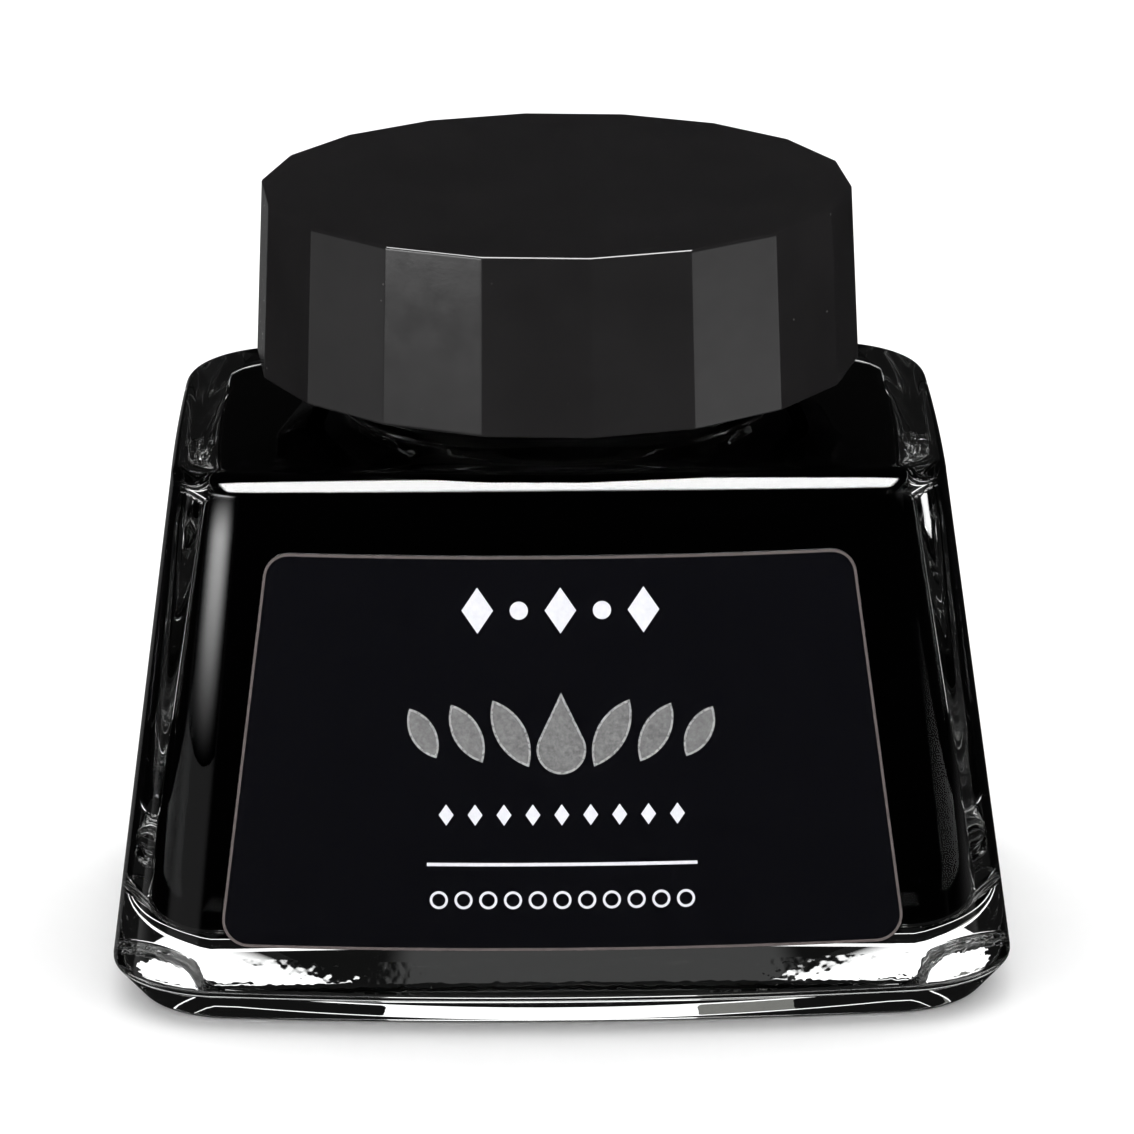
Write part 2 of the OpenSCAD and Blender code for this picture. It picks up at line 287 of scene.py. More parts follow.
def neck_rings():
    """From the shoulder over the bead, the thread and the lip into the mouth."""
    angles = neck_angles()
    bead_in = BEAD_R - BEAD_ROUND
    profile = [(NECK_R + 0.45, NECK_Z + 0.06), (NECK_R + 0.2, NECK_Z + 0.2), (NECK_R + 0.2, NECK_Z + 0.42)]
    profile += [(bead_in + BEAD_ROUND * math.cos(t), BEAD_Z + BEAD_ROUND * math.sin(t))
                for t in np.radians(np.arange(-90, 91, 18))]
    profile += [(NECK_R + 0.35, BEAD_Z + 0.62), (NECK_R + 0.08, BEAD_Z + 0.74), (NECK_R, BEAD_Z + 0.9)]
    rings = [circle_at(angles, r, z) for r, z in profile]
    for z in np.arange(BEAD_Z + 1.05, LIP_Z - LIP_ROUND, NECK_STEP):
        stand = ridge(angles, z, THREAD_LOW_Z, NECK_TURNS)
        rings.append(circle_at(angles, mix(NECK_R, NECK_CREST_R, stand), z))
    lip = [(NECK_R - LIP_ROUND + LIP_ROUND * math.cos(t), LIP_Z - LIP_ROUND + LIP_ROUND * math.sin(t))
           for t in np.radians(np.arange(0, 91, 11.25))]
    lip += [(MOUTH_R + MOUTH_ROUND * (1 - math.sin(t)), LIP_Z - MOUTH_ROUND * (1 - math.cos(t)))
            for t in np.radians(np.arange(0, 91, 18))]
    return rings + [circle_at(angles, r, z) for r, z in lip]


def well_rings(gap=0.0):
    """The wet surface, from the mouth's bore down to the middle of the well's floor."""
    arch = wall_section(ARCH_Z, WALL + gap)
    inner = (MOUTH_R - gap) * arch / np.linalg.norm(arch, axis=1)[:, None]
    rings = [at(mix(arch, inner, 1 - math.cos(t)), mix(ARCH_Z, ROOF_Z, math.sin(t)) - gap)
             for t in np.radians(np.linspace(84, 0, 13))]
    rings += [at(wall_section(z, WALL + gap), z)
              for z in np.linspace(ARCH_Z, WELL_FLOOR + WELL_ROUND, 14)[1:-1]]
    for t in np.radians(np.linspace(90, 0, 10)):
        z = WELL_FLOOR + WELL_ROUND * (1 - math.cos(t))
        rings.append(at(wall_section(z, WALL + gap + WELL_ROUND * (1 - math.sin(t))), z + gap))
    return rings + shrunk(rings[-1], (0.92, 0.84, 0.74, 0.64, 0.52, 0.4, 0.25))


def make_glass(dry, wet, textured):
    """The low wall, in front of the solid base, has a finer texture than the rest."""
    angles = neck_angles()
    bore_low, turn_r, turn_h = ROOF_Z + 1.2, 0.4, 0.5
    bore = [circle_at(angles, MOUTH_R, z) for z in np.linspace(LIP_Z - 1, bore_low, 8)]
    turn_in = [circle_at(angles, MOUTH_R + turn_r * (1 - math.cos(t)), ROOF_Z + turn_h * (1 - math.sin(t)))
               for t in np.radians((0, 30, 55))]
    outside = outside_rings()
    low_wall = {k for k, ring in enumerate(outside)
                if FOOT_H <= ring[:, 2].min() and ring[:, 2].max() < WELL_FLOOR}
    rings = outside + neck_rings() + bore
    first_wet = len(rings)
    rings += turn_in + well_rings()
    points, faces, slots = loft(rings, lambda k: 1 if k >= first_wet else 2 if k in low_wall else 0)
    add_mesh("bottle_glass", points, faces, [dry, wet, textured], "bottle", ["glass_bottle"], slots)


def make_ink(side, surface):
    """Black liquid with a meniscus that climbs the bore a little."""
    angles = neck_angles()
    climb, level = 0.35, ROOF_Z + 0.15
    top = [circle_at(angles, MOUTH_R * s, level + climb * s ** 14)
           for s in (0.15, 0.4, 0.65, 0.82, 0.9, 0.95, 0.98, 1)]
    rings = top + [circle_at(angles, MOUTH_R - INK_GAP, level + climb - 0.05)] + well_rings(INK_GAP)
    points, faces, slots = loft(rings, lambda k: int(k < len(top) - 1), flip=True)
    add_mesh("bottle_ink", points, faces, [side, surface], "bottle", ["ink"], slots)


# ---------- cap ----------

def cap_outline(corner_r):
    """The cap's outline with lightly rounded corners."""
    trim, support = 0.10, 0.28
    corners = [corner_r * np.array([math.cos(a), math.sin(a)])
               for a in np.radians(CAP_PHASE + np.arange(CAP_SIDES) * 360 / CAP_SIDES)]
    points = []
    for k, corner in enumerate(corners):
        last, after = corners[k - 1], corners[(k + 1) % CAP_SIDES]
        back = (last - corner) / np.linalg.norm(last - corner)
        ahead = (after - corner) / np.linalg.norm(after - corner)
        points.append(corner + back * support)
        for t in (0, 1 / 3, 2 / 3, 1):
            points.append((1 - t) ** 2 * (corner + back * trim) + 2 * t * (1 - t) * corner
                          + t * t * (corner + ahead * trim))
        points.append(corner + ahead * support)
        points += [mix(corner, after, s) for s in (0.27, 0.5, 0.73)]
    return np.array(points)


def make_cap_shell(plastic):
    high, low = at(cap_outline(CAP_TOP_R), CAP_TOP_Z), at(cap_outline(CAP_BOTTOM_R), CAP_LOW_Z)
    angles = np.arctan2(low[:, 1], low[:, 0])
    mouth = circle_at(angles, SHELL_BORE_R, CAP_LOW_Z)
    ceiling = circle_at(angles, SHELL_BORE_R, CAP_TOP_Z - SHELL_TOP)
    inner = high * [0.9, 0.9, 1]
    rings = [*shrunk(high, (0.1, 0.3, 0.5, 0.7, 0.85)),
             *soften(inner, high, low, 0.16),
             *[mix(high, low, s) for s in (0.25, 0.5, 0.75)],
             *soften(high, low, mouth, 0.16),
             *soften(low, mouth, ceiling, 0.15),
             *[mix(mouth, ceiling, s) for s in (0.3, 0.6)],
             *soften(mouth, ceiling, ceiling * [0.9, 0.9, 1], 0.3),
             *shrunk(ceiling, (0.8, 0.5, 0.2))]
    points, faces, _ = loft(rings, flip=True)
    add_mesh("cap_cover", points, faces, [plastic], "cap", ["cap_shell"])


def insert_columns():
    """Angle of each column round the insert, and 1 where it stands on a rib. A rib's flanks are steep."""
    flank = math.degrees(RIB_W / 2 / (INSERT_R + 0.5))
    sector = 360 / RIBS
    rib = [(-flank - 0.15, 0), (-flank + 0.15, 1), (0, 1), (flank - 0.15, 1), (flank + 0.15, 0)]
    gap = [(a, 0) for a in np.linspace(flank, sector - flank, 12)[1:-1]]
    degrees, on_rib = np.array([(k * sector + a, on) for k in range(RIBS) for a, on in rib + gap]).T
    return np.radians(degrees), on_rib


def make_cap_insert(plastic):
    clear = 0.02                       # keeps touching faces of the two cap pieces apart
    angles, on_rib = insert_columns()
    plate_r = SHELL_BORE_R - clear
    rib_r = mix(INSERT_R, plate_r, on_rib)
    plate_z = INSERT_TOP_Z - PLATE_T
    thread_z = THREAD_LOW_Z + PITCH / 2
    top = circle_at(angles, plate_r, INSERT_TOP_Z - clear)
    outside = [(plate_r, plate_z), (rib_r, plate_z - 0.02), (rib_r, INSERT_LOW_Z + 1.1),
               (INSERT_R, INSERT_LOW_Z + 0.95), (INSERT_R, INSERT_LOW_Z + 0.2),
               (INSERT_R - 0.06, INSERT_LOW_Z + 0.06), (INSERT_R - 0.2, INSERT_LOW_Z),
               (INSERT_BORE_R + 0.35, INSERT_LOW_Z), (INSERT_BORE_R + 0.1, INSERT_LOW_Z + 0.1),
               (INSERT_BORE_R, INSERT_LOW_Z + 0.35)]
    rings = [*shrunk(top, (0.3, 0.6, 0.9)), top, *[circle_at(angles, r, z) for r, z in outside]]
    for z in np.arange(INSERT_LOW_Z + 0.5, plate_z - 0.3, CAP_STEP):
        stand = ridge(angles, z, thread_z, CAP_TURNS)
        rings.append(circle_at(angles, mix(INSERT_BORE_R, CAP_CREST_R, stand), z))
    ceiling = circle_at(angles, INSERT_BORE_R, plate_z)
    rings += [circle_at(angles, INSERT_BORE_R, plate_z - 0.1), ceiling, *shrunk(ceiling, (0.9, 0.6, 0.3))]
    points, faces, _ = loft(rings, flip=True)
    add_mesh("cap_thread_insert", points, faces, [plastic], "cap", ["cap_insert"])


def make_liner(foam):
    """Foam disc with a rounded edge and the ring that the glass lip has pressed into it."""
    angles = np.linspace(0, 2 * math.pi, 128, endpoint=False)
    edge = 0.15
    press, lip_r, flat, sloped = 0.05, 11.0, 0.9, 1.1    # depth and radius of the ring, and its half widths
    top, low = LINER_TOP_Z - 0.01, LINER_LOW_Z
    profile = [(2, top), (8, top), (LINER_R - edge, top), (LINER_R - 0.04, top - 0.04), (LINER_R, top - edge),
               (LINER_R, low + edge), (LINER_R - 0.04, low + 0.04), (LINER_R - edge, low),
               (lip_r + sloped, low), (lip_r + flat, low + press), (lip_r, low + press),
               (lip_r - flat, low + press), (lip_r - sloped, low), (6, low), (2, low)]
    points, faces, _ = loft([circle_at(angles, r, z) for r, z in profile], flip=True)
    add_mesh("sealing_disc", points, faces, [foam], "seal", ["cap_liner"])


# ---------- labels ----------

def on_face(points, off, side):
    """Points drawn in X and Z, laid on the front (side -1) or the back (1) at a distance off the glass."""
    x, z = np.asarray(points, float).T
    a, b = half_size(z)
    depth = b + off + FACE_BOW * (1 - (x / (a + off)) ** 2)
    return np.column_stack([x, side * depth, z])


def label_half(z):
    return mix(LABEL_LOW_W, LABEL_HIGH_W, (z - LABEL_LOW_Z) / (LABEL_HIGH_Z - LABEL_LOW_Z)) / 2


def label_edge(inset):
    """The right edge of the label's outline, from the bottom to the top: (half width, height)."""
    r = LABEL_CORNER_R
    low_z, high_z = LABEL_LOW_Z + r, LABEL_HIGH_Z - r
    low_x, high_x = label_half(low_z) - r, label_half(high_z) - r
    lean = math.atan2(low_x - high_x, high_z - low_z)
    r -= inset
    low_turn = np.linspace(-math.pi / 2, lean, LABEL_CORNER_STEPS)
    high_turn = np.linspace(lean, math.pi / 2, LABEL_CORNER_STEPS)
    low = np.column_stack([low_x + r * np.cos(low_turn), low_z + r * np.sin(low_turn)])
    high = np.column_stack([high_x + r * np.cos(high_turn), high_z + r * np.sin(high_turn)])
    return np.concatenate([low, between(low[-1], high[0], LABEL_SIDE_STEPS), high])


def grid_patch(rows):
    """Points and faces of a sheet of equally long rows."""
    n = len(rows[0])
    faces = [(k * n + i, k * n + i + 1, (k + 1) * n + i + 1, (k + 1) * n + i)
             for k in range(len(rows) - 1) for i in range(n - 1)]
    return np.concatenate(rows), faces


def band_patch(outer, inner):
    """A closed band between two outlines of equally many points, counter-clockwise."""
    n = len(outer)
    faces = [(i, (i + 1) % n, n + (i + 1) % n, n + i) for i in range(n)]
    return np.concatenate([outer, inner]), faces


def fan_patch(outline):
    """A small shape filled from its middle."""
    n = len(outline)
    middle = outline.mean(0)
    points = np.concatenate([outline, mix(middle, outline, 0.5), [middle]])
    faces = [(i, (i + 1) % n, n + (i + 1) % n, n + i) for i in range(n)]
    return points, faces + [(n + i, n + (i + 1) % n, 2 * n) for i in range(n)]


def slabs(patches, side=-1):
    """Closed thin solids on a face. Each patch is (points, faces, low, high, material number)."""
    points, faces, slots = [], [], []
    start = 0
    for flat, patch_faces, low, high, slot in patches:
        n = len(flat)
        edges = dict.fromkeys((p, q) for f in patch_faces for p, q in zip(f, f[1:] + f[:1]))
        walls = [(q, p, p + n, q + n) for p, q in edges if (q, p) not in edges]
        solid = list(patch_faces) + [tuple(v + n for v in f[::-1]) for f in patch_faces] + walls
        if side > 0:
            solid = [f[::-1] for f in solid]
        points += [on_face(flat, high, side), on_face(flat, low, side)]
        faces += [tuple(v + start for v in f) for f in solid]
        slots += [slot] * len(solid)
        start += 2 * n
    return np.concatenate(points), faces, slots


def label_outline(inset):
    right = label_edge(inset)
    left = right[::-1] * [-1, 1]
    top = between(right[-1], left[0], FACE_STEPS)
    low = between(left[-1], right[0], FACE_STEPS)
    return np.concatenate([right, top, left, low])


def make_label(name, film, side, node):
    columns = np.linspace(-1, 1, 49)
    rows = [np.column_stack([columns * half, np.full(len(columns), z)]) for half, z in label_edge(0)]
    flat, faces = grid_patch(rows)
    points, faces, _ = slabs([(flat, faces, FILM_GAP, FILM_GAP + FILM_T, 0)], side)
    piece = add_mesh(name, points, faces, [film], "bottle", [node])
    sharpen(piece)


def round_outline(cx, cz, r):
    turn = np.linspace(0, 2 * math.pi, ROUND_STEPS, endpoint=False)
    return np.column_stack([cx + r * np.cos(turn), cz + r * np.sin(turn)])


def lozenge_outline(cx, cz, w, h):
    corners = [(cx + w / 2, cz), (cx, cz + h / 2), (cx - w / 2, cz), (cx, cz - h / 2)]
    return np.concatenate([[mix(np.array(p), np.array(q), s) for s in (0, 0.25, 0.5, 0.75)]
                           for p, q in zip(corners, corners[1:] + corners[:1])])


def make_print(ink):
    """Border line, rule and three rows of small marks."""
    low, high = FILM_GAP + FILM_T - 0.005, FILM_GAP + FILM_T + PRINT_T
    rule_w, rule_t, rule_z = 16.4, 0.2, 10.85
    top_z, top_pitch = 26.4, 2.5
    small_z, small_pitch = 13.9, 1.75
    ring_z, ring_pitch = 8.65, 1.5
    line = np.linspace(-rule_w / 2, rule_w / 2, 41)
    rule = [np.column_stack([line, np.full(len(line), rule_z + s * rule_t / 2)]) for s in (-1, 1)]
    shapes = [grid_patch(rule)]
    shapes += [fan_patch(lozenge_outline(i * top_pitch, top_z, 1.9, 2.8)) for i in (-2, 0, 2)]
    shapes += [fan_patch(round_outline(i * top_pitch, top_z, 0.55)) for i in (-1, 1)]
    shapes += [fan_patch(lozenge_outline(i * small_pitch, small_z, 0.9, 1.3)) for i in range(-4, 5)]
    shapes += [band_patch(round_outline(x, ring_z, 0.55), round_outline(x, ring_z, 0.4))
               for x in ring_pitch * np.arange(-5, 6)]
    patches = [(*shape, low, high, 0) for shape in shapes]
    border = band_patch(label_outline(BORDER_MARGIN), label_outline(BORDER_MARGIN + BORDER_W))
    patches.append((*border, low, high, 1))
    points, faces, slots = slabs(patches)
    piece = add_mesh("label_print", points, faces, ink, "bottle", ["front_print"], slots)
    sharpen(piece)


def leaf_outline(cx, cz, w, h, tilt):
    """Leaf with two pointed ends, leaning by tilt degrees."""
    r = (w * w + h * h) / (4 * w)
    reach = math.asin(h / 2 / r)
    t = np.linspace(-reach, reach, 15)[:-1]
    right = np.column_stack([r * np.cos(t) - (r - w / 2), r * np.sin(t)])
    flat = np.concatenate([right, -right])
    c, s = math.cos(math.radians(tilt)), math.sin(math.radians(tilt))
    return flat @ np.array([[c, s], [-s, c]]) + [cx, cz]


def drop_outline(cx, cz, r, h):
    """Ink drop: a round belly of radius r under a point, h high in all."""
    middle = r - h / 2
    open_half = math.acos(r / (h - r))
    t = np.linspace(math.pi / 2 + open_half, 2.5 * math.pi - open_half, 25)
    belly = np.column_stack([r * np.cos(t), middle + r * np.sin(t)])
    tip = np.array([[0, h / 2]])
    sides = [between(tip[0], belly[0], 5), between(belly[-1], tip[0], 5)]
    return np.concatenate([tip, sides[0], belly, sides[1]]) + [cx, cz]


def drawn_in(outline, width):
    """An outline moved inwards by a width, along its bisectors."""
    ahead, behind = np.roll(outline, -1, 0) - outline, outline - np.roll(outline, 1, 0)
    ahead /= np.linalg.norm(ahead, axis=1)[:, None]
    behind /= np.linalg.norm(behind, axis=1)[:, None]
    normal = np.column_stack([-(ahead + behind)[:, 1], (ahead + behind)[:, 0]])
    length = np.linalg.norm(normal, axis=1)[:, None]
    return outline + normal / length * width * np.clip(2 / length, 1, 2.2)


def make_foil(fill, painted_highlight_rim):
    """Hot-stamped drop and leaves, each with a raised rim; the rim's lighter copy of the foil is a painted
    highlight.
    """
    low = FILM_GAP + FILM_T - 0.005
    high = FILM_GAP + FILM_T + 2 * PRINT_T
    centre_z, rim_w, rim_lap = 18.9, 0.13, 0.8
    start_x, pitch, tilt = 0.4, 2.65, 28
    outlines = [drop_outline(0, centre_z, 1.5, 5.0)]
    for side in (-1, 1):
        outlines += [leaf_outline(side * (start_x + pitch * i), centre_z, 2.0 - 0.15 * i, 5.2 - 0.6 * i,
                                  -side * tilt) for i in (1, 2, 3)]
    patches = []
    for outline in outlines:
        inner = drawn_in(outline, rim_w)
        patches.append((*fan_patch(drawn_in(outline, rim_w * rim_lap)), low, high - PRINT_T * 0.6, 0))
        # The rim band takes the lighter foil: a painted highlight along the raised edge.
        patches.append((*band_patch(outline, inner), low, high, 1))
    points, faces, slots = slabs(patches)
    piece = add_mesh("label_foil", points, faces, [fill, painted_highlight_rim], "bottle", ["front_foil"], slots)
    sharpen(piece)


# ---------- materials ----------

# Refractive indices of glass in air, of glass against ink and of ink in air. The ink's own sides have
# none, because the wet glass just outside them already reflects what the two would.
GLASS_IOR, WET_GLASS_IOR, INK_IOR, NO_IOR = 1.52, 1.14, 1.33, 1.0


class Nodes:
    """Short calls that build a node tree."""

    def __init__(self, tree):
        self.nodes, self.links = tree.nodes, tree.links

    def new(self, kind, **settings):
        node = self.nodes.new("ShaderNode" + kind)
        for name, value in settings.items():
            setattr(node, name, value)
        return node

    def feed(self, socket, value):
        """Links an input to another node's output, or sets its value."""
        if isinstance(value, bpy.types.NodeSocket):
            self.links.new(value, socket)
        else:
            socket.default_value = value

    def math(self, operation, *values):
        node = self.new("Math", operation=operation)
        for socket, value in zip(node.inputs, values):
            self.feed(socket, value)
        return node.outputs[0]

    def ramp(self, value, low, high, to_low=0, to_high=1, kind="LINEAR"):
        """Maps low..high of a value to to_low..to_high, clamped."""
        node = self.new("MapRange", interpolation_type=kind)
        for name, v in zip(("Value", "From Min", "From Max", "To Min", "To Max"),
                           (value, low, high, to_low, to_high)):
            self.feed(node.inputs[name], v)
        return node.outputs["Result"]


class Shader(Nodes):
    """A Principled material with procedural detail."""

    def __init__(self, name, **values):
        self.material = bpy.data.materials.new(name)
        self.material.use_nodes = True
        super().__init__(self.material.node_tree)
        self.bsdf = self.nodes["Principled BSDF"]
        for socket, value in values.items():
            self.bsdf.inputs[socket.replace("_", " ")].default_value = value
        self.place = self.new("TexCoord").outputs["Object"]

    def noise(self, size_mm, detail=2.0, rough=0.5):
        """Noise whose blotches are about size_mm wide."""
        scale = self.new("Mapping")
        scale.inputs["Scale"].default_value = [1000 / size_mm] * 3
        self.links.new(self.place, scale.inputs["Vector"])
        node = self.new("TexNoise")
        for name, value in (("Vector", scale.outputs["Vector"]), ("Scale", 1.0), ("Detail", detail),
                            ("Roughness", rough)):
            self.feed(node.inputs[name], value)
        return node.outputs["Fac"]

    def cells(self, size_mm):
        """Distance to the nearest of points that are about size_mm apart."""
        node = self.new("TexVoronoi")
        node.inputs["Scale"].default_value = 1000 / size_mm
        self.links.new(self.place, node.inputs["Vector"])
        return node.outputs["Distance"]

    def blend(self, share, first, second):
        """Mixes two colours by a share. Each is a colour or the output of a node."""
        node = self.new("Mix", data_type="RGBA")
        for name, value in (("A", first), ("B", second)):
            socket = [s for s in node.inputs if s.name == name and s.type == "RGBA"][0]
            self.feed(socket, (*value, 1) if isinstance(value, tuple) else value)
        self.links.new(share, node.inputs["Factor"])
        return [s for s in node.outputs if s.type == "RGBA"][0]

    def into(self, name, value):
        self.links.new(value, self.bsdf.inputs[name])

    def bump(self, height, depth_mm):
        node = self.new("Bump")
        node.inputs["Distance"].default_value = depth_mm * MM
        self.links.new(height, node.inputs["Height"])
        self.links.new(node.outputs["Normal"], self.bsdf.inputs["Normal"])


def glass_material(name, ior, grain_mm=14, depth_mm=0.006):
    """Clear glass whose surface waves by depth_mm over grain_mm."""
    s = Shader(name, Roughness=0.0, IOR=ior, Transmission_Weight=1.0)
    s.into("Base Color", s.blend(s.ramp(s.noise(9), 0.3, 0.7), (0.97, 0.985, 0.98), (0.985, 0.995, 0.99)))
    s.bump(s.noise(grain_mm, 0.5), depth_mm)
    return s.material


def ink_material(name, ior):
    s = Shader(name, Roughness=0.15, IOR=ior)
    s.into("Base Color", s.blend(s.noise(5), (0.0006, 0.0004, 0.001), (0.0012, 0.0009, 0.0016)))
    return s.material


def cap_plastic_material():
    s = Shader("cap_black_plastic", IOR=1.5)
    shade = s.blend(s.ramp(s.noise(6, 3), 0.35, 0.65), (0.0088, 0.0083, 0.0086), (0.0115, 0.0109, 0.0112))
    speck = s.ramp(s.cells(1.35), 0.035, 0.06, 1, 0)
    dust = s.math("MULTIPLY", speck, s.ramp(s.noise(2.2, 0), 0.60, 0.64))
    s.into("Base Color", s.blend(dust, shade, (0.075, 0.072, 0.070)))
    s.into("Roughness", s.ramp(s.noise(1.4, 4), 0.3, 0.7, 0.12, 0.17))
    s.bump(s.math("ADD", s.noise(3.5, 2), s.noise(0.25, 2)), 0.0012)
    return s.material


def insert_plastic_material():
    s = Shader("insert_black_plastic", IOR=1.5)
    s.into("Base Color", s.blend(s.noise(4, 3), (0.014, 0.014, 0.015), (0.024, 0.024, 0.026)))
    s.into("Roughness", s.ramp(s.noise(0.8, 3), 0.3, 0.7, 0.36, 0.52))
    s.bump(s.noise(0.3, 3), 0.006)
    return s.material


def foam_material():
    s = Shader("liner_white_foam", IOR=1.45, Subsurface_Weight=0.15, Subsurface_Scale=0.5,
               Subsurface_Radius=(1.0 * MM, 1.0 * MM, 0.8 * MM))
    pores = s.cells(0.35)
    s.into("Base Color", s.blend(s.ramp(pores, 0.0, 0.35), (0.60, 0.59, 0.56), (0.80, 0.79, 0.76)))
    s.into("Roughness", s.ramp(s.noise(1.2), 0.3, 0.7, 0.55, 0.75))
    s.bump(s.math("ADD", pores, s.noise(0.12, 3)), 0.03)
    return s.material


def film_material():
    s = Shader("label_black_film", IOR=1.4)
    s.into("Base Color", s.blend(s.noise(6, 4), (0.0011, 0.0011, 0.0018), (0.0017, 0.0017, 0.0026)))
    s.into("Roughness", s.ramp(s.noise(0.5, 4), 0.3, 0.7, 0.16, 0.22))
    s.bump(s.math("ADD", s.noise(0.10, 3), s.noise(4, 1)), 0.0006)
    return s.material


def print_material():
    s = Shader("print_pale_silver", IOR=1.45)
    s.into("Base Color", s.blend(s.noise(0.35, 4), (0.56, 0.56, 0.60), (0.74, 0.74, 0.78)))
    s.into("Roughness", s.ramp(s.noise(0.3, 3), 0.3, 0.7, 0.45, 0.6))
    s.bump(s.noise(0.12, 3), 0.002)
    return s.material


def border_material():
    s = Shader("print_border_bronze", IOR=1.45)
    s.into("Base Color", s.blend(s.noise(0.6, 4), (0.045, 0.036, 0.035), (0.080, 0.064, 0.062)))
    s.into("Roughness", s.ramp(s.noise(0.3, 3), 0.3, 0.7, 0.42, 0.55))
    s.bump(s.noise(0.12, 3), 0.002)
    return s.material


def foil_material(name, dark, light, rough):
    s = Shader(name, Metallic=0.55, IOR=1.5)
    s.into("Base Color", s.blend(s.ramp(s.noise(0.28, 5, 0.65), 0.3, 0.7), dark, light))
    s.into("Roughness", s.ramp(s.noise(0.2, 4), 0.3, 0.7, rough - 0.08, rough + 0.08))
    s.bump(s.noise(0.18, 4), 0.006)
    return s.material


# ---------- stage ----------

def add_camera():
    """Long lens, a little above the bottle and almost straight in front of it."""
    pitch, roll, yaw = math.radians(17.75), math.radians(0.35), math.radians(-0.43)
    distance, shift_x, shift_up = 388.7, -0.691, 23.754
    forward = Vector((0, math.cos(pitch), -math.sin(pitch)))
    up = Vector((0, math.sin(pitch), math.cos(pitch)))
    right = Vector((1, 0, 0))
    cr, sr = math.cos(roll), math.sin(roll)
    right, up = cr * right - sr * up, sr * right + cr * up
    turn = Matrix.Rotation(yaw, 3, "Z")
    place = Vector((0, 0, CAP_TOP_Z)) + turn @ (-distance * forward - shift_x * right - shift_up * up)
    axes = Matrix([turn @ right, turn @ up, -(turn @ forward)]).transposed()
    data = bpy.data.cameras.new("camera")
    data.lens, data.sensor_width = 200, 36
    data.clip_start, data.clip_end = 0.01, 10
    camera = bpy.data.objects.new("camera", data)
    camera.matrix_world = Matrix.Translation(place * MM) @ axes.to_4x4()
    bpy.context.scene.collection.objects.link(camera)
    bpy.context.scene.camera = camera


def add_stage_mesh(name, corners, material):
    """A flat stage object with four corners, in millimetres."""
    mesh = bpy.data.meshes.new(name)
    mesh.from_pydata((np.array(corners) * MM).tolist(), [], [(0, 1, 2, 3)])
    mesh.materials.append(material)
    piece = bpy.data.objects.new(name, mesh)
    bpy.context.scene.collection.objects.link(piece)
    return piece


def add_sheet(name, left, front, right, back, z, material):
    """A level sheet."""
    corners = [(left, front, z), (right, front, z), (right, back, z), (left, back, z)]
    return add_stage_mesh(name, corners, material)


def floor_material():
    s = Shader("floor_white", IOR=1.3, Specular_IOR_Level=0.0)
    s.into("Base Color", s.blend(s.noise(60), (0.885, 0.885, 0.885), (0.90, 0.90, 0.90)))
    s.into("Roughness", s.ramp(s.noise(20), 0.3, 0.7, 0.8, 0.95))
    return s.material


def white_card_material():
    """White near the bottle, fading to dark farther away. It also glows in that colour, a dim painted light
    that only refracted rays see.
    """
    s = Shader("card_fading_glow", IOR=1.3, Specular_IOR_Level=0.0, Emission_Strength=0.42)
    fade_start, fade_end = 125, 260
    away = s.new("VectorMath", operation="LENGTH")
    s.links.new(s.place, away.inputs[0])
    share = s.ramp(away.outputs["Value"], fade_start * MM, fade_end * MM)
    shade = s.blend(share, (0.9, 0.9, 0.9), (0.008, 0.008, 0.008))
    s.into("Base Color", shade)
    # The card's glow follows its colour: painted light for the glass base, not a lamp.
    s.into("Emission Color", shade)
    s.into("Roughness", s.ramp(s.noise(20), 0.3, 0.7, 0.8, 0.95))
    return s.material


def grey_card_material():
    s = Shader("card_grey", Roughness=0.9, IOR=1.3, Specular_IOR_Level=0.0)
    s.into("Base Color", s.blend(s.noise(20), (0.15, 0.15, 0.14), (0.19, 0.19, 0.18)))
    return s.material


def add_floor():
    """The floor that the eye sees, and just under it the cards that only refracted rays see. They keep
    clear of the bottle's own place, so that its walls stay black, and lie in a cross round it for the
    base. Two small ones close behind it light its foot."""
    half = 900
    floor = add_sheet("floor", -half, -half, half, half, 0, floor_material())
    floor.visible_glossy = floor.visible_transmission = False
    white = white_card_material()
    z, reach = -0.05, 450
    half_wide, start_y = 38, 40        # cards in front and behind
    half_deep, start_x = 26, 60        # cards to the left and right
    close_y, far_y = 27, 39.5          # small cards
    cards = [add_sheet("card_front", -half_wide, -reach, half_wide, -start_y, z, white),
             add_sheet("card_back", -half_wide, start_y, half_wide, reach, z, white),
             add_sheet("card_left", -reach, -half_deep, -start_x, half_deep, z, white),
             add_sheet("card_right", start_x, -half_deep, reach, half_deep, z, white),
             add_sheet("card_close", -10, close_y, 8, far_y, z, white),
             add_sheet("card_close_grey", 8, close_y, 13.5, far_y, z, grey_card_material())]
    for card in cards:
        card.visible_camera = card.visible_diffuse = card.visible_glossy = False


def glow_material(name, power):
    """Light that fades towards the left, the right and the low edge of its piece."""
    material = bpy.data.materials.new(name)
    material.use_nodes = True
    s = Nodes(material.node_tree)
    s.nodes.clear()
    split = s.new("SeparateXYZ")
    s.links.new(s.new("TexCoord").outputs["Generated"], split.inputs[0])
    strength = power
    for axis, start, full in (("X", 0.0, 0.45), ("X", 1.0, 0.55), ("Z", 0.0, 0.6)):
        strength = s.math("MULTIPLY", s.ramp(split.outputs[axis], start, full, kind="SMOOTHSTEP"), strength)
    glow = s.new("Emission")
    s.links.new(strength, glow.inputs["Strength"])
    s.links.new(glow.outputs[0], s.new("OutputMaterial").inputs["Surface"])
    return material


